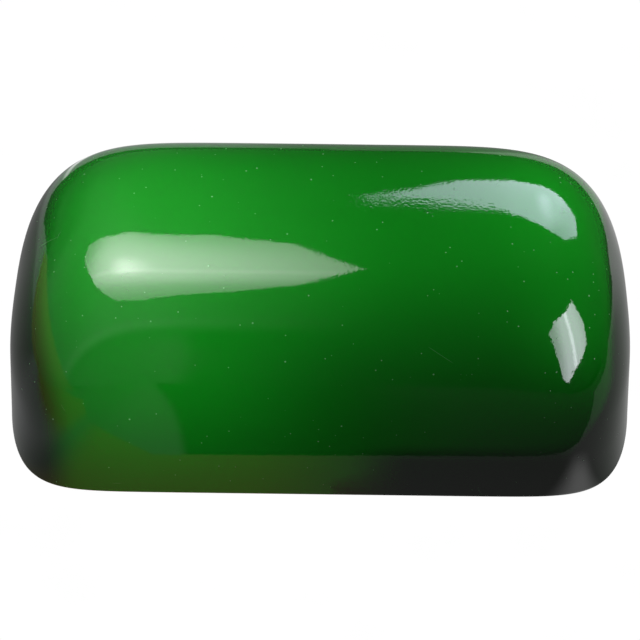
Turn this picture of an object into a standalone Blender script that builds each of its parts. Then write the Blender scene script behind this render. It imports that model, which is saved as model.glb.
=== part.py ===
"""Elongated cased-glass shade for a desk lamp, open underneath.

Two layers of glass make the wall: a thin green casing outside and a white opal lining inside.
Frame: the origin is at the centre of the rim plane, +X along the length, +Z up to the crown.
Units are metres.
"""

import bmesh
import bpy
import numpy as np

# Outer size of the shade.
LENGTH = 0.225
WIDTH = 0.130
HEIGHT = 0.080

# The wall, from the outside in.
CASING_WALL = 0.0012
LAYER_GAP = 0.0003
LINING_WALL = 0.0020

# Seen from above, a cut at any height is the curve |x / half_length|^a + |y / half_width|^b = 1.
# Each exponent changes evenly from its value at the rim to its value at the crown.
PLAN_END_EXPONENT = (11.4, 6.2)
PLAN_SIDE_EXPONENT = (2.67, 2.8)

# Seen from the end, the wall is the curve (y / (WIDTH / 2))^a + (z / HEIGHT)^b = 1.
SECTION_SIDE_EXPONENT = 3.1
SECTION_CROWN_EXPONENT = 2.3

# Seen from the front, each end leans in by END_DRAFT, then rounds over in a quarter of an ellipse.
END_DRAFT = 0.05
SHOULDER_LENGTH = 0.042
SHOULDER_HEIGHT = 0.052

# The mesh: points round the rim, rings up to the crown, and how much a bend draws points to it.
QUARTER_POINTS = 18
RINGS = 16
BEND_WEIGHT = 0.060
CURVE_SAMPLES = 4000
BISECTIONS = 40
SHARP_ANGLE = np.radians(40.0)

GREEN_GLASS = (0.017, 0.240, 0.024, 1.0)
GREEN_ROUGHNESS = 0.04
OPAL_GLASS = (0.88, 0.89, 0.85, 1.0)
OPAL_ROUGHNESS = 0.10


def clear_scene():
    for item in list(bpy.data.objects):
        bpy.data.objects.remove(item, do_unlink=True)


def half_length(z):
    """Half of the outside length at height z."""
    above = np.clip((z - HEIGHT) / SHOULDER_HEIGHT + 1.0, 0.0, 1.0)
    rounding = 1.0 - np.sqrt(1.0 - above**2)
    return LENGTH / 2 - END_DRAFT * z - SHOULDER_LENGTH * rounding


def half_width(z):
    """Half of the outside width at height z."""
    share = np.clip(z / HEIGHT, 0.0, 1.0)
    return WIDTH / 2 * (1.0 - share**SECTION_CROWN_EXPONENT) ** (1.0 / SECTION_SIDE_EXPONENT)


def at_height(rim_and_crown, z):
    """A value that changes evenly from the rim to the crown, at height z."""
    rim_value, crown_value = rim_and_crown
    return rim_value + (crown_value - rim_value) * np.clip(z / HEIGHT, 0.0, 1.0)


def is_outside(points):
    """True for each point that lies outside the shade's outer surface."""
    x, y, z = points[..., 0], points[..., 1], points[..., 2]
    width = np.maximum(half_width(z), 1e-9)
    end_term = np.abs(x / half_length(z)) ** at_height(PLAN_END_EXPONENT, z)
    side_term = np.abs(y / width) ** at_height(PLAN_SIDE_EXPONENT, z)
    return (end_term + side_term > 1.0) | (z > HEIGHT)


def rim_curve(angles):
    """Points of the rim's outer edge, one for each angle of the curve's own parameter."""
    cosine, sine = np.cos(angles), np.sin(angles)
    x = LENGTH / 2 * np.sign(cosine) * np.abs(cosine) ** (2.0 / PLAN_END_EXPONENT[0])
    y = WIDTH / 2 * np.sign(sine) * np.abs(sine) ** (2.0 / PLAN_SIDE_EXPONENT[0])
    return np.stack([x, y], axis=-1)


def rim_points():
    """The rim's outer edge, with its points closer together where the edge bends."""
    angles = np.linspace(0.0, np.pi / 2, CURVE_SAMPLES + 1)
    steps = np.diff(rim_curve(angles), axis=0)
    heading = np.unwrap(np.arctan2(steps[:, 1], steps[:, 0]))
    turning = np.abs(np.diff(heading, prepend=heading[0]))
    cost = np.concatenate([[0.0], np.cumsum(np.hypot(*steps.T) + BEND_WEIGHT * turning)])
    wanted = np.linspace(0.0, cost[-1], QUARTER_POINTS + 1)
    quarter = np.interp(wanted, cost, angles)[:-1]
    back = np.pi - np.append(quarter[1:], np.pi / 2)[::-1]
    half_turn = np.concatenate([quarter, back])
    return rim_curve(np.concatenate([half_turn, half_turn + np.pi]))


def outer_rings():
    """Rings of points on the outer surface, from the rim to just below the crown's centre.

    Each point is found by halving the stretch of a ray from the origin that crosses the surface.
    """
    rim = rim_points()
    rings = []
    for latitude in np.linspace(0.0, np.pi / 2, RINGS + 1)[:-1]:
        plan = rim * np.cos(latitude)
        height = np.full((len(rim), 1), HEIGHT * np.sin(latitude))
        direction = np.hstack([plan, height])
        inside = np.full((len(rim), 1), 0.5)
        outside = np.full((len(rim), 1), 2.0)
        for _ in range(BISECTIONS):
            middle = (inside + outside) / 2
            beyond = is_outside(direction * middle)[:, None]
            outside = np.where(beyond, middle, outside)
            inside = np.where(beyond, inside, middle)
        rings.append(direction * inside)
    return rings


def skin():
    """The outer surface as an open bmesh, with its crown point last."""
    rings = outer_rings()
    mesh = bmesh.new()
    rows = [[mesh.verts.new(point) for point in ring] for ring in rings]
    crown = mesh.verts.new((0.0, 0.0, HEIGHT))
    count = len(rows[0])
    for lower, upper in zip(rows, rows[1:]):
        for i in range(count):
            j = (i + 1) % count
            mesh.faces.new((lower[i], lower[j], upper[j], upper[i]))
    for i in range(count):
        mesh.faces.new((rows[-1][i], rows[-1][(i + 1) % count], crown))
    mesh.normal_update()
    return mesh


def surface_at(depth):
    """Corner positions of the outer surface moved into the wall by depth, its rim kept at z = 0."""
    mesh = skin()
    rim = {vertex for edge in mesh.edges if edge.is_boundary for vertex in edge.verts}
    positions = []
    for vertex in mesh.verts:
        place = vertex.co - vertex.normal * depth
        if vertex in rim:
            place.z = 0.0
        positions.append(place)
    mesh.free()
    return positions


def glass_layer(name, outer_depth, inner_depth, material):
    """One layer of the wall, between two depths below the outer surface, as a closed solid."""
    outer = surface_at(outer_depth)
    inner = surface_at(inner_depth)
    pattern = skin()
    pattern.verts.index_update()
    faces = [[vertex.index for vertex in face.verts] for face in pattern.faces]
    pattern.free()
    total = len(outer)
    count = 4 * QUARTER_POINTS
    inner_faces = [[total + index for index in reversed(face)] for face in faces]
    rim_faces = []
    for i in range(count):
        j = (i + 1) % count
        rim_faces.append([i, total + i, total + j, j])
    mesh = bpy.data.meshes.new(name)
    mesh.from_pydata(outer + inner, [], faces + inner_faces + rim_faces)
    mesh.materials.append(material)
    layer = bpy.data.objects.new(name, mesh)
    bpy.context.scene.collection.objects.link(layer)
    mesh.shade_smooth()
    mesh.set_sharp_from_angle(angle=SHARP_ANGLE)
    return layer


def glass(name, colour, roughness):
    material = bpy.data.materials.new(name)
    material.use_nodes = True
    shader = material.node_tree.nodes["Principled BSDF"]
    shader.inputs["Base Color"].default_value = colour
    shader.inputs["Roughness"].default_value = roughness
    shader.inputs["Metallic"].default_value = 0.0
    return material


def build_shade():
    lining_depth = CASING_WALL + LAYER_GAP
    wall = lining_depth + LINING_WALL
    green = glass("green_glass", GREEN_GLASS, GREEN_ROUGHNESS)
    opal = glass("opal_glass", OPAL_GLASS, OPAL_ROUGHNESS)
    glass_layer("green_casing", 0.0, CASING_WALL, green)
    glass_layer("opal_lining", lining_depth, wall, opal)


clear_scene()
build_shade()
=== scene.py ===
"""Looks for the elongated cased-glass desk lamp shade: its two layers of glass, studio and camera.

Units are metres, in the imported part's own frame: the rim stands on z = 0 and +X is the length.
"""

import math

import bpy
import numpy as np
from mathutils import Matrix, Vector, noise


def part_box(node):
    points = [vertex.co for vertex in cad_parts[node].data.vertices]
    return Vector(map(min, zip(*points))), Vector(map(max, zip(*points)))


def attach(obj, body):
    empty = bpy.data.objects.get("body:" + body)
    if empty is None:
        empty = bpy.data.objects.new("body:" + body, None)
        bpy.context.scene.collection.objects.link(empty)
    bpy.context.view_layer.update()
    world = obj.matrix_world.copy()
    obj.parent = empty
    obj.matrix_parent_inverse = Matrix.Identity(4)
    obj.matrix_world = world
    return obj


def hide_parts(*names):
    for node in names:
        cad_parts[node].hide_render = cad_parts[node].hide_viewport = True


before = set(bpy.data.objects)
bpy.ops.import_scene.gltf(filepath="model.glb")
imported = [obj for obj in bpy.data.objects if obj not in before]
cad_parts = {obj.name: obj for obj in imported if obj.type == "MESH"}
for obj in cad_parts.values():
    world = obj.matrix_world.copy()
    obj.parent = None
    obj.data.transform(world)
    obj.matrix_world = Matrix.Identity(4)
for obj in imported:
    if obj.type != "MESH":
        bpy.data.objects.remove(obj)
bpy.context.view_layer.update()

# ---------------------------------------------------------------- shape of the shade

CASING_LOW, CASING_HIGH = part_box("green_casing")
LENGTH, WIDTH, HEIGHT = CASING_HIGH - CASING_LOW
WALL = 0.0035
CASING_WALL = 0.0012
RIM_ROUNDING = 0.0006
RIM_ROUNDING_STEPS = 4

# Seen from above, a cut at any height is the curve |x / half_length|^a + |y / half_width|^b = 1.
# Each exponent changes evenly from its value at the rim to its value at the crown.
PLAN_END_EXPONENT = (11.4, 6.2)
PLAN_SIDE_EXPONENT = (2.67, 2.8)
# Seen from the end, the wall is the curve (y / (WIDTH / 2))^a + (z / HEIGHT)^b = 1.
SECTION_SIDE_EXPONENT = 3.1
SECTION_CROWN_EXPONENT = 2.3
# Seen from the front, each end leans in by END_DRAFT, then rounds over in a quarter of an ellipse.
END_DRAFT = 0.05
SHOULDER_LENGTH = 0.042
SHOULDER_HEIGHT = 0.052

# The mesh: points round the rim, rings up to the crown, and how much a bend draws points to it.
QUARTER_POINTS = 80
RINGS = 88
BEND_WEIGHT = 0.040
CURVE_SAMPLES = 8000
# The first ring above the rim stands this many rim roundings high.
FIRST_RING = 2.5
# A ray from the origin crosses the surface between these multiples of its direction.
NEAREST, FARTHEST = 0.5, 2.0
BISECTIONS = 44
SHARP_ANGLE = math.radians(50.0)

# Slow waves of hand-worked glass: (wavelength, depth), always inward from the true surface.
GLASS_WAVES = ((0.055, 0.00010), (0.021, 0.00003))
WAVE_SHIFT = (3.1, 7.7, 1.9)
# The waves fade to nothing at the rim, which is ground flat, and at the very crown.
RIM_FADE = 0.012
CROWN_FADE = 0.02


def half_length(z):
    """Half of the outside length at height z."""
    above = np.clip((z - HEIGHT) / SHOULDER_HEIGHT + 1.0, 0.0, 1.0)
    rounding = 1.0 - np.sqrt(1.0 - above**2)
    return LENGTH / 2 - END_DRAFT * z - SHOULDER_LENGTH * rounding


def half_width(z):
    """Half of the outside width at height z."""
    share = np.clip(z / HEIGHT, 0.0, 1.0)
    return WIDTH / 2 * (1.0 - share**SECTION_CROWN_EXPONENT) ** (1.0 / SECTION_SIDE_EXPONENT)


def at_height(rim_and_crown, z):
    """A value that changes evenly from the rim to the crown, at height z."""
    rim_value, crown_value = rim_and_crown
    return rim_value + (crown_value - rim_value) * np.clip(z / HEIGHT, 0.0, 1.0)


def is_outside(points):
    """True for each point that lies outside the shade's outer surface."""
    x, y, z = points[..., 0], points[..., 1], points[..., 2]
    width = np.maximum(half_width(z), 1e-9)
    end_term = np.abs(x / half_length(z)) ** at_height(PLAN_END_EXPONENT, z)
    side_term = np.abs(y / width) ** at_height(PLAN_SIDE_EXPONENT, z)
    return (end_term + side_term > 1.0) | (z > HEIGHT)


def rim_curve(angles):
    """Points of the rim's outer edge, one for each angle of the curve's own parameter."""
    cosine, sine = np.cos(angles), np.sin(angles)
    x = LENGTH / 2 * np.sign(cosine) * np.abs(cosine) ** (2.0 / PLAN_END_EXPONENT[0])
    y = WIDTH / 2 * np.sign(sine) * np.abs(sine) ** (2.0 / PLAN_SIDE_EXPONENT[0])
    return np.stack([x, y], axis=-1)


def rim_points():
    """The rim's outer edge, with its points closer together where the edge bends."""
    angles = np.linspace(0.0, np.pi / 2, CURVE_SAMPLES + 1)
    steps = np.diff(rim_curve(angles), axis=0)
    heading = np.unwrap(np.arctan2(steps[:, 1], steps[:, 0]))
    turning = np.abs(np.diff(heading, prepend=heading[0]))
    cost = np.concatenate([[0.0], np.cumsum(np.hypot(*steps.T) + BEND_WEIGHT * turning)])
    wanted = np.linspace(0.0, cost[-1], QUARTER_POINTS + 1)
    quarter = np.interp(wanted, cost, angles)[:-1]
    back = np.pi - np.append(quarter[1:], np.pi / 2)[::-1]
    half_turn = np.concatenate([quarter, back])
    return rim_curve(np.concatenate([half_turn, half_turn + np.pi]))


def outer_grid():
    """The outer surface as an array [ring, point round the ring], the last ring all at the crown."""
    rim = rim_points()
    first = FIRST_RING * RIM_ROUNDING / HEIGHT
    latitudes = np.concatenate([[0.0], np.linspace(first, np.pi / 2, RINGS)])
    grid = []
    for latitude in latitudes:
        plan = rim * np.cos(latitude)
        height = np.full((len(rim), 1), HEIGHT * np.sin(latitude))
        direction = np.hstack([plan, height])
        inside = np.full((len(rim), 1), NEAREST)
        outside = np.full((len(rim), 1), FARTHEST)
        for _ in range(BISECTIONS):
            middle = (inside + outside) / 2
            beyond = is_outside(direction * middle)[:, None]
            outside = np.where(beyond, middle, outside)
            inside = np.where(beyond, inside, middle)
        grid.append(direction * inside)
    return np.array(grid)


def grid_normals(grid):
    """Unit normals of the grid, pointing out of the shade."""
    along = np.roll(grid, -1, axis=1) - np.roll(grid, 1, axis=1)
    up = np.gradient(grid, axis=0)
    normals = np.cross(along, up)
    normals[0, :, 2] = 0.0
    normals[-1] = (0.0, 0.0, 1.0)
    return normals / np.linalg.norm(normals, axis=2, keepdims=True)


def waves(points):
    """Depth of the glass's slow waves at each point, from 0 inward."""
    depth = np.zeros(points.shape[:2])
    for k, (wavelength, amount) in enumerate(GLASS_WAVES):
        shift = Vector((WAVE_SHIFT[0] * k, WAVE_SHIFT[1], WAVE_SHIFT[2]))
        values = [noise.noise(Vector(point) / wavelength + shift) for point in points.reshape(-1, 3)]
        depth += amount * (1.0 + np.array(values).reshape(depth.shape)) / 2
    return depth


GRID = outer_grid()
NORMALS = grid_normals(GRID)
ABOVE_RIM = np.clip(GRID[..., 2] / RIM_FADE, 0.0, 1.0)
BELOW_CROWN = np.clip(1.0 - GRID[..., 2] / HEIGHT, 0.0, CROWN_FADE) / CROWN_FADE
WAVES = waves(GRID) * (ABOVE_RIM * BELOW_CROWN)


def surface_at(depth, wavy):
    """The grid moved into the wall by depth, with its rim kept on the ground plane."""
    total = depth + WAVES * (1.0 if wavy else 0.0)
    moved = GRID - NORMALS * total[..., None]
    moved[0, :, 2] = 0.0
    return moved


def rounded_rim(side, outward):
    """Rings that round the rim's edge, from the ground plane up to the wall."""
    rings = []
    for step in range(RIM_ROUNDING_STEPS + 1):
        turn = step / RIM_ROUNDING_STEPS * math.pi / 2
        inset = RIM_ROUNDING * (1.0 - math.sin(turn))
        ring = side[0] - outward * NORMALS[0] * inset
        ring[:, 2] = RIM_ROUNDING * (1.0 - math.cos(turn))
        rings.append(ring)
    return rings


def layer_piece(name, outer_depth, inner_depth, round_outer, materials):
    """One glass layer as a closed shell; materials are the wall's and the ground rim's."""
    outer = surface_at(outer_depth, wavy=outer_depth == 0.0)
    inner = surface_at(inner_depth, wavy=False)
    outer_rings = list(outer)
    inner_rings = list(inner)
    if round_outer:
        outer_rings = rounded_rim(outer, 1.0) + outer_rings[1:]
    else:
        inner_rings = rounded_rim(inner, -1.0) + inner_rings[1:]
    rings = inner_rings[:-1][::-1] + outer_rings[:-1]
    ground_ring = len(inner_rings) - 2
    count = len(rings[0])
    points = np.concatenate(rings + [inner[-1][:1], outer[-1][:1]])
    inner_crown, outer_crown = len(points) - 2, len(points) - 1
    faces, slots = [], []
    for row in range(len(rings) - 1):
        for i in range(count):
            j = (i + 1) % count
            low, high = row * count, (row + 1) * count
            faces.append((low + i, low + j, high + j, high + i))
            slots.append(1 if row == ground_ring else 0)
    top = (len(rings) - 1) * count
    for i in range(count):
        j = (i + 1) % count
        faces.append((j, i, inner_crown))
        faces.append((top + i, top + j, outer_crown))
        slots += [0, 0]
    mesh = bpy.data.meshes.new(name)
    mesh.from_pydata(points.tolist(), [], faces)
    for material in materials:
        mesh.materials.append(material)
    mesh.polygons.foreach_set("material_index", slots)
    mesh.validate()
    mesh.shade_smooth()
    mesh.set_sharp_from_angle(angle=SHARP_ANGLE)
    piece = bpy.data.objects.new(name, mesh)
    bpy.context.scene.collection.objects.link(piece)
    return piece


# ---------------------------------------------------------------- materials

# A speck is full over this share of its radius.
SPECK_CORE = 0.4
# Where a noise starts to show, and where it is full.
MIDDLE_OF_NOISE = (0.3, 0.7)
HIGH_OF_NOISE = (0.35, 0.75)
# The noise that chooses scratches is this much finer than their cells, and ends them this suddenly.
SCRATCH_CHOOSER = 1.7
SCRATCH_FADE = 0.02


class Nodes:
    """Short calls that add and join the nodes of one material."""

    def __init__(self, name):
        self.material = bpy.data.materials.new(name)
        self.material.use_nodes = True
        self.tree = self.material.node_tree
        self.shader = self.tree.nodes["Principled BSDF"]
        self.place = self.add("ShaderNodeTexCoord").outputs["Object"]

    def add(self, kind, **settings):
        node = self.tree.nodes.new(kind)
        for key, value in settings.items():
            setattr(node, key, value)
        return node

    def join(self, source, target):
        self.tree.links.new(source, target)

    def drive(self, name, source):
        """Let other nodes set one of the shader's sockets."""
        self.join(source, self.shader.inputs[name])

    def set(self, **values):
        """Fixed values on the shader's own sockets, an underscore standing for a space."""
        for key, value in values.items():
            self.shader.inputs[key.replace("_", " ")].default_value = value

    def stretched(self, x, y, z):
        """Object coordinates in cycles per metre, a different count along each axis."""
        mapping = self.add("ShaderNodeMapping")
        mapping.inputs["Scale"].default_value = (x, y, z)
        self.join(self.place, mapping.inputs["Vector"])
        return mapping.outputs["Vector"]

    def noise(self, scale, detail=2.0, roughness=0.5, vector=None):
        node = self.add("ShaderNodeTexNoise")
        node.inputs["Scale"].default_value = scale
        node.inputs["Detail"].default_value = detail
        node.inputs["Roughness"].default_value = roughness
        self.join(vector or self.place, node.inputs["Vector"])
        return node.outputs["Fac"]

    def axes(self):
        """The three object coordinates."""
        node = self.add("ShaderNodeSeparateXYZ")
        self.join(self.place, node.inputs["Vector"])
        return node.outputs["X"], node.outputs["Y"], node.outputs["Z"]

    def away_from(self, x, y, z):
        """Distance in metres from a point of the object's own frame."""
        node = self.add("ShaderNodeVectorMath", operation="DISTANCE")
        node.inputs[1].default_value = (x, y, z)
        self.join(self.place, node.inputs[0])
        return node.outputs["Value"]

    def math(self, operation, a, b=0.0):
        node = self.add("ShaderNodeMath", operation=operation)
        for socket, value in zip(node.inputs, (a, b)):
            if isinstance(value, (int, float)):
                socket.default_value = value
            else:
                self.join(value, socket)
        return node.outputs[0]

    def sum(self, first, *others):
        for term in others:
            first = self.math("ADD", first, term)
        return first

    def product(self, first, *others):
        for term in others:
            first = self.math("MULTIPLY", first, term)
        return first

    def off(self, value, centre):
        """How far a value is from a centre, either way."""
        return self.math("ABSOLUTE", self.math("SUBTRACT", value, centre))

    def ranged(self, value, low, high, to_low=0.0, to_high=1.0):
        """A smooth step from to_low, where the value is low, to to_high; low may be the larger."""
        node = self.add("ShaderNodeMapRange", interpolation_type="SMOOTHSTEP")
        numbers = {"From Min": low, "From Max": high, "To Min": to_low, "To Max": to_high}
        for key, number in numbers.items():
            node.inputs[key].default_value = number
        self.join(value, node.inputs["Value"])
        return node.outputs["Result"]

    def mix(self, amount, first, second):
        node = self.add("ShaderNodeMix", data_type="RGBA")
        self.join(amount, node.inputs["Factor"])
        for key, value in (("A", first), ("B", second)):
            socket = [s for s in node.inputs if s.name == key and s.type == "RGBA"][0]
            if isinstance(value, tuple):
                socket.default_value = value
            else:
                self.join(value, socket)
        return [s for s in node.outputs if s.type == "RGBA"][0]

    def bump(self, height, distance, under=None):
        """Relief as deep as distance, in metres, laid over the relief under it."""
        node = self.add("ShaderNodeBump")
        node.inputs["Distance"].default_value = distance
        self.join(height, node.inputs["Height"])
        if under is not None:
            self.join(under, node.inputs["Normal"])
        return node.outputs["Normal"]

    def specks(self, scale, radius, share):
        """Small round spots: cells per metre, spot radius in metres, share of cells with a spot."""
        cells = self.add("ShaderNodeTexVoronoi", feature="F1")
        cells.inputs["Scale"].default_value = scale
        self.join(self.place, cells.inputs["Vector"])
        core = SPECK_CORE * radius
        spot = self.ranged(cells.outputs["Distance"], radius * scale, core * scale)
        split = self.add("ShaderNodeSeparateColor")
        self.join(cells.outputs["Color"], split.inputs["Color"])
        chosen = self.math("LESS_THAN", split.outputs["Red"], share)
        return self.math("MULTIPLY", spot, chosen)

    def scratches(self, scale, width, share):
        """Short hairlines: parts of the borders of large cells, chosen by a noise of their own."""
        cells = self.add("ShaderNodeTexVoronoi", feature="DISTANCE_TO_EDGE")
        cells.inputs["Scale"].default_value = scale
        self.join(self.place, cells.inputs["Vector"])
        line = self.ranged(cells.outputs["Distance"], width * scale, 0.0)
        chooser = self.noise(scale * SCRATCH_CHOOSER, detail=1.0)
        part = self.ranged(chooser, 1.0 - share, 1.0 + SCRATCH_FADE - share)
        return self.math("MULTIPLY", line, part)


# Colours of the glass, and of the marks on it.
GREEN = (0.0035, 0.205, 0.0075, 1.0)
GREEN_DEEP = (0.0030, 0.190, 0.0065, 1.0)
# Painted shade: the dark green laid into the casing round its two ends and low on the near right.
GREEN_PAINTED_SHADE = (0.0010, 0.028, 0.0012, 1.0)
# Paler green of seeds, dust and hairlines: partly their own colour and partly painted glints.
GREEN_SPECK_AND_GLINT = (0.16, 0.42, 0.18, 1.0)
GREEN_GROUND = (0.02, 0.16, 0.03, 1.0)
GREEN_GROUND_PALE = (0.10, 0.30, 0.12, 1.0)
OPAL = (0.86, 0.88, 0.83, 1.0)
OPAL_THIN = (0.76, 0.83, 0.74, 1.0)
OPAL_SPECK = (0.35, 0.36, 0.32, 1.0)
OPAL_GROUND = (0.72, 0.75, 0.70, 1.0)
OPAL_GROUND_PALE = (0.88, 0.90, 0.86, 1.0)

# Roughness of each glass where it is clearest, and where it is dullest.
GREEN_ROUGHNESS = (0.035, 0.065)
OPAL_ROUGHNESS = (0.09, 0.17)
GROUND_ROUGHNESS = (0.35, 0.60)

# Where shade is painted into the casing's colour, darkening it: each pair is where that starts and
# where it is full.
LEFT_END = (-0.0835, -0.0975)
RIGHT_END = (0.0985, 0.1030)
STRIP_HEIGHT = (0.0270, 0.0165)
STRIP_ALONG = (0.006, 0.032)
STRIP_ACROSS = (-0.02, -0.04)
# The left end's painted shade draws back higher up, and the right end's spreads inward near the rim:
# two heights, and how far it has moved at each.
LEFT_MOVES = (0.030, 0.070, 0.0, 0.0080)
RIGHT_MOVES = (0.008, 0.042, 0.0200, 0.0)

# Draw lines run along the length: cycles per metre along each axis.
DRAW_LINES = (90.0, 240.0, 240.0)
HAIRLINE_STRENGTH = 0.5
MARK_ROUGHNESS = 0.25


def painted_casing_shade(n):
    """Painted shade, darkening the casing's colour: round the two end walls, and low on the near
    right.
    """
    x, y, z = n.axes()
    leftward = n.math("ADD", x, n.ranged(z, *LEFT_MOVES))
    rightward = n.math("ADD", x, n.ranged(z, *RIGHT_MOVES))
    ends = n.math("ADD", n.ranged(leftward, *LEFT_END), n.ranged(rightward, *RIGHT_END))
    low = n.product(n.ranged(z, *STRIP_HEIGHT), n.ranged(x, *STRIP_ALONG))
    strip = n.product(low, n.ranged(y, *STRIP_ACROSS))
    return n.math("MAXIMUM", ends, strip)


def casing_marks(n):
    """Seeds in the glass, dust on it, and fainter hairlines; their paler colour is partly their own
    and partly painted glints.
    """
    seeds = n.specks(scale=260.0, radius=0.00040, share=0.16)
    dust = n.specks(scale=520.0, radius=0.00028, share=0.09)
    hairlines = n.scratches(scale=22.0, width=0.00012, share=0.32)
    faint = n.math("MULTIPLY", hairlines, HAIRLINE_STRENGTH)
    return n.math("MAXIMUM", n.math("MAXIMUM", seeds, dust), faint)


def casing_relief(n, marks):
    """Fine unevenness, then orange peel, then draw lines, with the marks as small pits on top."""
    relief = n.bump(n.noise(scale=900.0, detail=1.0), distance=0.000012)
    relief = n.bump(n.noise(scale=420.0), distance=0.000004, under=relief)
    lines = n.noise(scale=1.0, vector=n.stretched(*DRAW_LINES))
    relief = n.bump(lines, distance=0.000004, under=relief)
    return n.bump(marks, distance=0.00004, under=relief)


def green_glass():
    """Dense green glass over opal: even colour with slow cloudiness, painted shade round the ends
    and low on the near right, smears in the gloss, and marks coloured paler, partly as painted
    glints.
    """
    n = Nodes("green_glass")
    n.set(Metallic=0.0, IOR=1.52, Specular_IOR_Level=0.5)
    cloud = n.ranged(n.noise(scale=14.0), *MIDDLE_OF_NOISE)
    # Painted shade: the casing's colour darkens round the ends and low on the near right.
    colour = n.mix(painted_casing_shade(n), n.mix(cloud, GREEN, GREEN_DEEP), GREEN_PAINTED_SHADE)
    marks = casing_marks(n)
    # The marks' paler colour is partly their own and partly painted glints.
    n.drive("Base Color", n.mix(marks, colour, GREEN_SPECK_AND_GLINT))
    smear = n.ranged(n.noise(scale=55.0, detail=3.0), *HIGH_OF_NOISE, *GREEN_ROUGHNESS)
    n.drive("Roughness", n.math("ADD", smear, n.math("MULTIPLY", marks, MARK_ROUGHNESS)))
    n.drive("Normal", casing_relief(n, marks))
    return n.material


def opal_glass():
    """White opal glass: milky, a little uneven, with a soft gloss and a few dark grains."""
    n = Nodes("opal_glass")
    n.set(Metallic=0.0, IOR=1.5)
    thin = n.ranged(n.noise(scale=20.0), *HIGH_OF_NOISE)
    grains = n.specks(scale=80.0, radius=0.00028, share=0.12)
    n.drive("Base Color", n.mix(grains, n.mix(thin, OPAL, OPAL_THIN), OPAL_SPECK))
    gloss = n.ranged(n.noise(scale=45.0, detail=3.0), *MIDDLE_OF_NOISE, *OPAL_ROUGHNESS)
    n.drive("Roughness", gloss)
    slow = n.bump(n.noise(scale=38.0), distance=0.00018)
    n.drive("Normal", n.bump(n.noise(scale=300.0), distance=0.000006, under=slow))
    return n.material


def ground_glass(name, colour, pale):
    """The rim's ground edge: the same glass, frosted by the wheel."""
    n = Nodes(name)
    n.set(Metallic=0.0, IOR=1.5)
    grit = n.noise(scale=1500.0, detail=3.0, roughness=0.7)
    n.drive("Base Color", n.mix(n.ranged(grit, *MIDDLE_OF_NOISE), colour, pale))
    n.drive("Roughness", n.ranged(grit, *MIDDLE_OF_NOISE, *GROUND_ROUGHNESS))
    n.drive("Normal", n.bump(grit, distance=0.00004))
    return n.material


# ---------------------------------------------------------------- the two pieces


def stand_in(piece, node):
    """Show the piece instead of the CAD node, under the root body."""
    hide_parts(node)
    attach(piece, "root")


def make_shade():
    green_rim = ground_glass("green_ground_rim", GREEN_GROUND, GREEN_GROUND_PALE)
    opal_rim = ground_glass("opal_ground_rim", OPAL_GROUND, OPAL_GROUND_PALE)
    casing = layer_piece("green_casing_glass", 0.0, CASING_WALL, True, (green_glass(), green_rim))
    lining = layer_piece("opal_lining_glass", CASING_WALL, WALL, False, (opal_glass(), opal_rim))
    stand_in(casing, "green_casing")
    stand_in(lining, "opal_lining")


make_shade()

# ---------------------------------------------------------------- studio
#
# The camera sees only a pale floor and backdrop. The glass mirrors glowing cards, a table and a
# dim room, which nothing else sees, and small lamps light its body without showing in it.

ALONG_X, ALONG_Y, ALONG_Z = (1.0, 0.0, 0.0), (0.0, 1.0, 0.0), (0.0, 0.0, 1.0)
BLACK = (0.0, 0.0, 0.0, 1.0)
WHITE = (1.0, 1.0, 1.0, 1.0)
OFF_WHITE = (0.98, 0.98, 0.98, 1.0)
WORLD_COLOUR = (0.9, 0.95, 1.0, 1.0)
WORLD_STRENGTH = 0.008
FLOOR_GLOW = 1.02
FAR_FLOOR_GLOW = 0.045

STAGE_RADIUS = 6.0
ROOM_RADIUS = 1.2
DISC_CORNERS = 96
DOME_ROWS = 12
DOME_TURNS = 64

# Heights of the flat sheets and the domes' edges, just under the rim.
FLOOR_LEVEL = -0.0002
TABLE_LEVEL = -0.0004
LOW_LEVEL = -0.0006
DOME_LEVEL = -0.001

# The table's corners on the ground; its front edge passes close to the shade.
TABLE_OUTLINE = (
    (-0.06, -0.090), (0.12, -0.094), (0.24, -0.126), (0.33, -0.16), (0.37, 0.0), (0.40, 0.055),
    (0.25, 0.085), (0.20, 0.09), (0.185, 0.12), (0.19, 3.7), (0.0, 3.7), (0.0, 0.60),
    (-0.10, 0.55), (-0.185, 0.33), (-0.185, 0.165), (-0.23, 0.165), (-0.34, 0.25), (-1.1, 0.80),
    (-1.2, -0.45), (-0.42, -0.45), (-0.17, -0.27), (-0.106, -0.144),
)
# Corners of the cards, as offsets along their own axes.
TOP_OUTLINE = (
    (0.157, 0.012), (0.127, 0.112), (0.09, 0.147), (-0.01, 0.120), (-0.14, 0.142), (-0.155, 0.09),
    (-0.078, -0.055), (-0.02, -0.132), (0.03, -0.136), (0.10, -0.095), (0.13, -0.06),
)
BACK_OUTLINE = (
    (-0.303, 0.20), (-0.285, 0.188), (-0.270, 0.166), (-0.24, 0.09), (-0.17, 0.01), (0.15, -0.130),
    (0.23, -0.19), (0.28, -0.16), (0.32, 0.06), (0.20, 0.20), (-0.02, 0.30), (-0.17, 0.28),
    (-0.22, 0.215), (-0.27, 0.20),
)
SIDE_OUTLINE = (
    (0.34, 0.08), (0.284, -0.069), (0.20, -0.122), (-0.134, -0.146), (-0.316, -0.207),
    (-0.41, -0.165), (-0.32, 0.09), (-0.225, 0.29), (-0.025, 0.274),
)
BOARD_OUTLINE = (
    (-0.60, 0.0), (0.28, 0.0), (0.232, 0.046), (0.146, 0.088), (0.059, 0.119), (-0.032, 0.134),
    (-0.138, 0.137), (-0.272, 0.118), (-0.440, 0.054),
)
FRONT_FLOOR_OUTLINE = ((-0.45, -1.2), (0.6, -1.2), (0.6, -0.08), (-0.45, -0.08))
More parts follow.
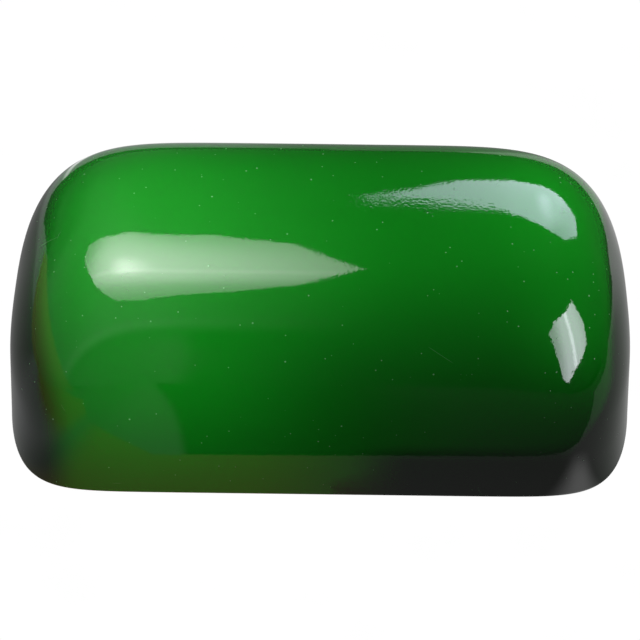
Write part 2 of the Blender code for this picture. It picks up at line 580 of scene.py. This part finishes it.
FAR_FLOOR_OUTLINE = ((-1.2, -0.08), (1.2, -0.08), (1.2, 1.2), (-1.2, 1.2))
FLAG_OUTLINE = ((-0.130, 0.0), (-0.0695, 0.0), (-0.0695, 0.012), (-0.097, 0.050), (-0.130, 0.050))

# Places of the cards' own origins.
TOP_PLACE = (-0.14, -0.008, 0.30)
BACK_PLACE = (0.32, 0.50, 0.33)
SIDE_PLACE = (0.55, -0.35, 0.30)
BOARD_PLACE = (-0.40, 0.0, 0.0)
LOW_PLACE = (0.0, 0.0, LOW_LEVEL)
FLAG_PLACE = (0.0, 0.0, 0.0)

TOP_COLOUR = (1.0, 0.94, 0.98, 1.0)
BACK_COLOUR = (0.80, 0.81, 1.05, 1.0)
SIDE_COLOUR = (0.95, 0.97, 1.05, 1.0)
ROOM_COLOUR = (0.95, 1.0, 1.0, 1.0)
BOARD_BROWN = (1.0, 0.76, 0.40, 1.0)
TABLE_GREY = (0.20, 0.20, 0.20, 1.0)
TABLE_BROWN = (0.38, 0.27, 0.11, 1.0)
TABLE_LEFT = (0.37, 0.365, 0.38, 1.0)
TABLE_PALE = (0.85, 0.85, 0.85, 1.0)
TABLE_STREAK = (1.2, 1.2, 1.2, 1.0)

# The table's patches: each pair is where an edge of the patch starts and where the patch is full.
LEFT_PATCH_ALONG = (-0.105, -0.130)
LEFT_PATCH_ACROSS = (0.01, -0.05)
BACK_PATCH_ALONG = (0.0, -0.06)
BACK_PATCH_ACROSS = (0.11, 0.14)
BROWN_IN_FRONT = (-0.07, -0.12)
BROWN_LEFT_EDGE = (-0.110, -0.085)
BROWN_RIGHT_EDGE = (0.035, -0.03)
BROWN_BACK_EDGE = (0.12, 0.0)
RIGHT_PATCH_ALONG = (0.09, 0.12)
# The right patch grows paler towards the back: two places across, and its strength at each.
RIGHT_PATCH_ACROSS = (0.04, 0.10, 0.20, 0.50)
# The streak lies where x + y has this value, and runs out where x - y grows.
STREAK_LINE = 0.029
STREAK_SIDES = (0.016, 0.001)
STREAK_END = (0.202, 0.165)

# Each lamp: name, place, radius, intensity.
LAMPS = (
    ("left_lamp", (-0.078, -0.017, 0.183), 0.035, 0.0653),
    ("front_lamp", (-0.059, -0.114, 0.071), 0.020, 0.0099),
    ("right_lamp", (0.109, 0.014, 0.132), 0.035, 0.0180),
    ("corner_lamp", (0.097, -0.065, 0.082), 0.020, 0.0017),
    ("end_lamp", (0.170, -0.010, 0.085), 0.025, 0.0038),
    ("bounce_back_left", (-0.080, 0.320, -0.150), 0.080, 0.0500),
    ("bounce_back_right", (0.080, 0.320, -0.150), 0.080, 0.0500),
    ("bounce_left", (-0.300, 0.030, -0.200), 0.080, 0.1100),
    ("bounce_right", (0.300, 0.030, -0.200), 0.080, 0.1100),
)


def seen_by(thing, camera=False, glossy=False, diffuse=False, shadow=False):
    """Which rays meet a lamp, a card or the floor."""
    thing.visible_camera = camera
    thing.visible_glossy = glossy
    thing.visible_diffuse = diffuse
    thing.visible_shadow = shadow
    thing.visible_transmission = False


def stage_object(name, points, faces, material):
    """A mesh of the studio, not of the shade."""
    mesh = bpy.data.meshes.new(name)
    mesh.from_pydata(points, [], faces)
    mesh.materials.append(material)
    item = bpy.data.objects.new(name, mesh)
    bpy.context.scene.collection.objects.link(item)
    return item


def flat_polygon(name, corners, material):
    """A flat polygon of the studio."""
    return stage_object(name, corners, [tuple(range(len(corners)))], material)


def glow(name, colour, strength):
    """A material that only gives light; a function in place of a value makes it from nodes."""
    n = Nodes(name)
    n.set(Base_Color=BLACK, Specular_IOR_Level=0.0)
    for socket, value in (("Emission Color", colour), ("Emission Strength", strength)):
        if callable(value):
            n.drive(socket, value(n))
        else:
            n.shader.inputs[socket].default_value = value
    return n.material


def card(name, place, across, upward, outline, material):
    """A glowing card for reflections only; outline is in metres along across and upward."""
    across, upward = Vector(across), Vector(upward)
    corners = [tuple(across * u + upward * v) for u, v in outline]
    item = flat_polygon(name, corners, material)
    item.location = place
    seen_by(item, glossy=True)
    return item


def dome(name, radius, material):
    """Half a sphere over the stage."""
    points, faces = [], []
    for row in range(DOME_ROWS + 1):
        up = row / DOME_ROWS * math.pi / 2
        level = radius * math.cos(up)
        height = radius * math.sin(up) + DOME_LEVEL
        for i in range(DOME_TURNS):
            turn = 2.0 * math.pi * i / DOME_TURNS
            points.append((level * math.cos(turn), level * math.sin(turn), height))
    for row in range(DOME_ROWS):
        low, high = row * DOME_TURNS, (row + 1) * DOME_TURNS
        for i in range(DOME_TURNS):
            j = (i + 1) % DOME_TURNS
            faces.append((low + i, low + j, high + j, high + i))
    return stage_object(name, points, faces, material)


def disc(radius, height):
    """Corners of a round, level sheet."""
    turns = [2.0 * math.pi * i / DISC_CORNERS for i in range(DISC_CORNERS)]
    return [(radius * math.cos(turn), radius * math.sin(turn), height) for turn in turns]


def lamp(name, place, radius, intensity):
    """A small round lamp that lights the glass but doesn't show in its reflections."""
    data = bpy.data.lights.new(name, "POINT")
    data.shadow_soft_size = radius
    data.energy = 4.0 * math.pi * intensity
    light = bpy.data.objects.new(name, data)
    light.location = place
    bpy.context.scene.collection.objects.link(light)
    seen_by(light, diffuse=True, shadow=True)


def floor_colour(n):
    """White, with a faint grain."""
    grain = n.ranged(n.noise(scale=30.0, detail=4.0), *MIDDLE_OF_NOISE)
    return n.mix(grain, WHITE, OFF_WHITE)


def table_colour(n):
    """Grey, with a brown patch in front, paler at the left, back left and right, and one streak."""
    x, y, _ = n.axes()
    left = n.product(n.ranged(x, *LEFT_PATCH_ALONG), n.ranged(y, *LEFT_PATCH_ACROSS))
    back_left = n.product(n.ranged(x, *BACK_PATCH_ALONG), n.ranged(y, *BACK_PATCH_ACROSS))
    paler = n.mix(n.ranged(y, *BROWN_IN_FRONT), TABLE_LEFT, TABLE_BROWN)
    colour = n.mix(n.math("MAXIMUM", left, back_left), TABLE_GREY, paler)
    sides = n.product(n.ranged(x, *BROWN_LEFT_EDGE), n.ranged(x, *BROWN_RIGHT_EDGE))
    colour = n.mix(n.product(sides, n.ranged(y, *BROWN_BACK_EDGE)), colour, TABLE_BROWN)
    right = n.product(n.ranged(x, *RIGHT_PATCH_ALONG), n.ranged(y, *RIGHT_PATCH_ACROSS))
    colour = n.mix(right, colour, TABLE_PALE)
    off_streak = n.off(n.math("ADD", x, y), STREAK_LINE)
    outward = n.math("SUBTRACT", x, y)
    streak = n.product(n.ranged(off_streak, *STREAK_SIDES), n.ranged(outward, *STREAK_END))
    return n.mix(streak, colour, TABLE_STREAK)


# From here on a ramp is (start, end), or (start, end, value at the start, value at the end).
SOFTBOX_MIDDLE = (0.01, 0.01, 0.0)
SOFTBOX_FALL = (0.02, 0.18, 9.6, 2.8)
SOFTBOX_CORE = (0.0, 0.05, 6.0, 0.0)
SOFTBOX_NEAR = (-0.08, -0.02, 0.66, 1.0)
CREASE_PLACE = -0.006
CREASE = (0.014, 0.0, 0.0, 0.18)


def top_profile(n):
    """Bright in the middle of the softbox, with a thin brighter crease and a dimmer near half."""
    _, y, _ = n.axes()
    away = n.away_from(*SOFTBOX_MIDDLE)
    box = n.sum(n.ranged(away, *SOFTBOX_FALL), n.ranged(away, *SOFTBOX_CORE))
    crease = n.ranged(n.off(y, CREASE_PLACE), *CREASE)
    return n.product(box, n.sum(n.ranged(y, *SOFTBOX_NEAR), crease))


BACK_FROM_LEFT = (-0.29, -0.18, 4.4, 6.2)
BACK_RIGHT_LOSS = (0.12, 0.24, 0.0, 2.2)
HOT_SPOT_PLACE = (0.06, 0.0, 0.05)
HOT_SPOT = (0.0, 0.10, 2.4, 0.0)


def back_profile(n):
    """Dim at the far left, dimmer again at the far right, with one hot spot."""
    x, _, _ = n.axes()
    strip = n.math("SUBTRACT", n.ranged(x, *BACK_FROM_LEFT), n.ranged(x, *BACK_RIGHT_LOSS))
    return n.sum(strip, n.ranged(n.away_from(*HOT_SPOT_PLACE), *HOT_SPOT))


# The tube lies along z + TUBE_SHIFT = TUBE_SLOPE * y.
TUBE_SHIFT = 0.055
TUBE_SLOPE = 1.17
TUBE = (0.07, 0.0, 0.0, 6.0)
TUBE_NEAR_END = (-0.15, 0.0, 0.5, 1.0)
TUBE_SURROUND = (0.50, 0.12, 4.5, 9.0)


def side_profile(n):
    """Brightest along a slanting tube, and fading away from it on both sides."""
    _, y, z = n.axes()
    off_tube = n.off(n.sum(z, TUBE_SHIFT), n.product(y, TUBE_SLOPE))
    tube = n.product(n.ranged(off_tube, *TUBE), n.ranged(y, *TUBE_NEAR_END))
    return n.sum(n.ranged(off_tube, *TUBE_SURROUND), tube)


ROOM_GLOW = 0.035
CEILING_GLOW = 0.48
CEILING_FROM_RIGHT = (0.06, -0.25)
CEILING_FAR_LEFT = (-0.95, -0.45, 0.55, 1.0)
CEILING_FAR_CORNER = (-1.50, -1.68, 1.0, 0.35)
CEILING_FROM_FRONT = (-1.00, -0.86)
CEILING_FROM_BACK = (1.15, 0.45, 0.2, 1.0)
CORNICE_PLACE = -0.83
CORNICE = (0.07, 0.0, 0.0, 0.15)
BLOCK_FROM_RIGHT = (-0.121, -0.131, 0.0, 0.19)
BLOCK_FROM_BACK = (-0.92, -1.01)


def room_profile(n):
    """The room: dark on the right, lighter overhead to the left, with a pale block low in front."""
    x, y, _ = n.axes()
    left = n.product(n.ranged(x, *CEILING_FROM_RIGHT), n.ranged(x, *CEILING_FAR_LEFT))
    far_corner = n.ranged(n.math("SUBTRACT", x, y), *CEILING_FAR_CORNER)
    depth = n.product(n.ranged(y, *CEILING_FROM_FRONT), n.ranged(y, *CEILING_FROM_BACK))
    cornice = n.ranged(n.off(y, CORNICE_PLACE), *CORNICE)
    overhead = n.sum(n.product(depth, CEILING_GLOW), cornice)
    block = n.product(n.ranged(x, *BLOCK_FROM_RIGHT), n.ranged(y, *BLOCK_FROM_BACK))
    return n.sum(n.product(left, far_corner, overhead), block, ROOM_GLOW)


BOARD_RISE = (0.0, 0.12, 0.36, 0.60)


def board_profile(n):
    """Brighter towards the top."""
    _, _, z = n.axes()
    return n.ranged(z, *BOARD_RISE)


FRONT_SLANT = 0.11
FRONT_PALE_EDGE = (-0.036, -0.041)
FRONT_PALE_FADE = (-0.085, -0.050, 0.15, 0.24)
FRONT_RIGHT = (0.0, 0.07, 0.02, 0.08)


def front_profile(n):
    """The floor before the table: pale on the left, fading to the left, and dim on the right."""
    x, y, _ = n.axes()
    across = n.math("SUBTRACT", x, n.product(y, FRONT_SLANT))
    pale = n.product(n.ranged(across, *FRONT_PALE_EDGE), n.ranged(across, *FRONT_PALE_FADE))
    return n.sum(pale, n.ranged(x, *FRONT_RIGHT))


def make_world():
    world = bpy.data.worlds.new("studio")
    world.use_nodes = True
    background = world.node_tree.nodes["Background"]
    background.inputs["Color"].default_value = WORLD_COLOUR
    background.inputs["Strength"].default_value = WORLD_STRENGTH
    bpy.context.scene.world = world


def make_surroundings():
    """The pale floor and backdrop that the camera sees."""
    floor_glow = glow("pale_floor", floor_colour, FLOOR_GLOW)
    floor = flat_polygon("floor", disc(STAGE_RADIUS, FLOOR_LEVEL), floor_glow)
    backdrop = dome("backdrop", STAGE_RADIUS, glow("pale_backdrop", WHITE, 1.0))
    for item in (floor, backdrop):
        seen_by(item, camera=True)


def make_reflections():
    """What the glass mirrors."""
    table_corners = [(x, y, TABLE_LEVEL) for x, y in TABLE_OUTLINE]
    table = flat_polygon("table_top", table_corners, glow("dim_table", table_colour, 1.0))
    seen_by(table, glossy=True)
    # Overhead, to the left: the long highlight along the crown.
    top_glow = glow("top_glow", TOP_COLOUR, top_profile)
    card("top_card", TOP_PLACE, ALONG_X, ALONG_Y, TOP_OUTLINE, top_glow)
    # Behind, to the right: the bent highlight on the far shoulder.
    back_glow = glow("back_glow", BACK_COLOUR, back_profile)
    card("back_card", BACK_PLACE, ALONG_X, ALONG_Z, BACK_OUTLINE, back_glow)
    # To the right: the leaf-shaped highlight on the right end.
    side_glow = glow("side_glow", SIDE_COLOUR, side_profile)
    card("side_card", SIDE_PLACE, ALONG_Y, ALONG_Z, SIDE_OUTLINE, side_glow)
    # All round: the dim room.
    room = dome("dim_room", ROOM_RADIUS, glow("room_glow", ROOM_COLOUR, room_profile))
    seen_by(room, glossy=True)
    # To the left: the brown crescent along the left end.
    board_glow = glow("board_glow", BOARD_BROWN, board_profile)
    card("left_board", BOARD_PLACE, ALONG_Y, ALONG_Z, BOARD_OUTLINE, board_glow)
    # Below the table's level: the floor in front of it and beyond it.
    front_glow = glow("front_glow", WHITE, front_profile)
    card("front_floor", LOW_PLACE, ALONG_X, ALONG_Y, FRONT_FLOOR_OUTLINE, front_glow)
    far_glow = glow("floor_glow", WHITE, FAR_FLOOR_GLOW)
    card("far_floor", LOW_PLACE, ALONG_X, ALONG_Y, FAR_FLOOR_OUTLINE, far_glow)
    # A flag, which only casts a shadow, keeps the front lamp off the near side's right half.
    flag = card("flag", FLAG_PLACE, ALONG_Y, ALONG_Z, FLAG_OUTLINE, board_glow)
    seen_by(flag, shadow=True)


def make_studio():
    make_world()
    make_surroundings()
    make_reflections()
    for name, place, radius, intensity in LAMPS:
        lamp(name, place, radius, intensity)


make_studio()

# ---------------------------------------------------------------- camera

VIEW_AZIMUTH = math.radians(0.48)
VIEW_ELEVATION = math.radians(45.14)
VIEW_ROLL = math.radians(0.383)
VIEW_DISTANCE = 0.9045
VIEW_TARGET = Vector((-0.00014, -0.00791, 0.030))
LENS = 141.53
SENSOR_WIDTH = 36.0


def make_camera():
    """The camera at the photograph's angle, above the front and slightly rolled."""
    level = math.cos(VIEW_ELEVATION)
    height = math.sin(VIEW_ELEVATION)
    back = Vector((math.sin(VIEW_AZIMUTH) * level, -math.cos(VIEW_AZIMUTH) * level, height))
    right = Vector((0.0, 0.0, 1.0)).cross(back).normalized()
    up = back.cross(right)
    side = right * math.cos(VIEW_ROLL) + up * math.sin(VIEW_ROLL)
    top = up * math.cos(VIEW_ROLL) - right * math.sin(VIEW_ROLL)
    data = bpy.data.cameras.new("camera")
    data.sensor_width = SENSOR_WIDTH
    data.lens = LENS
    camera = bpy.data.objects.new("camera", data)
    camera.rotation_mode = "QUATERNION"
    camera.rotation_quaternion = Matrix((side, top, back)).transposed().to_quaternion()
    camera.location = VIEW_TARGET + back * VIEW_DISTANCE
    bpy.context.scene.collection.objects.link(camera)
    bpy.context.scene.camera = camera


make_camera()
bpy.context.scene.view_settings.view_transform = "Standard"
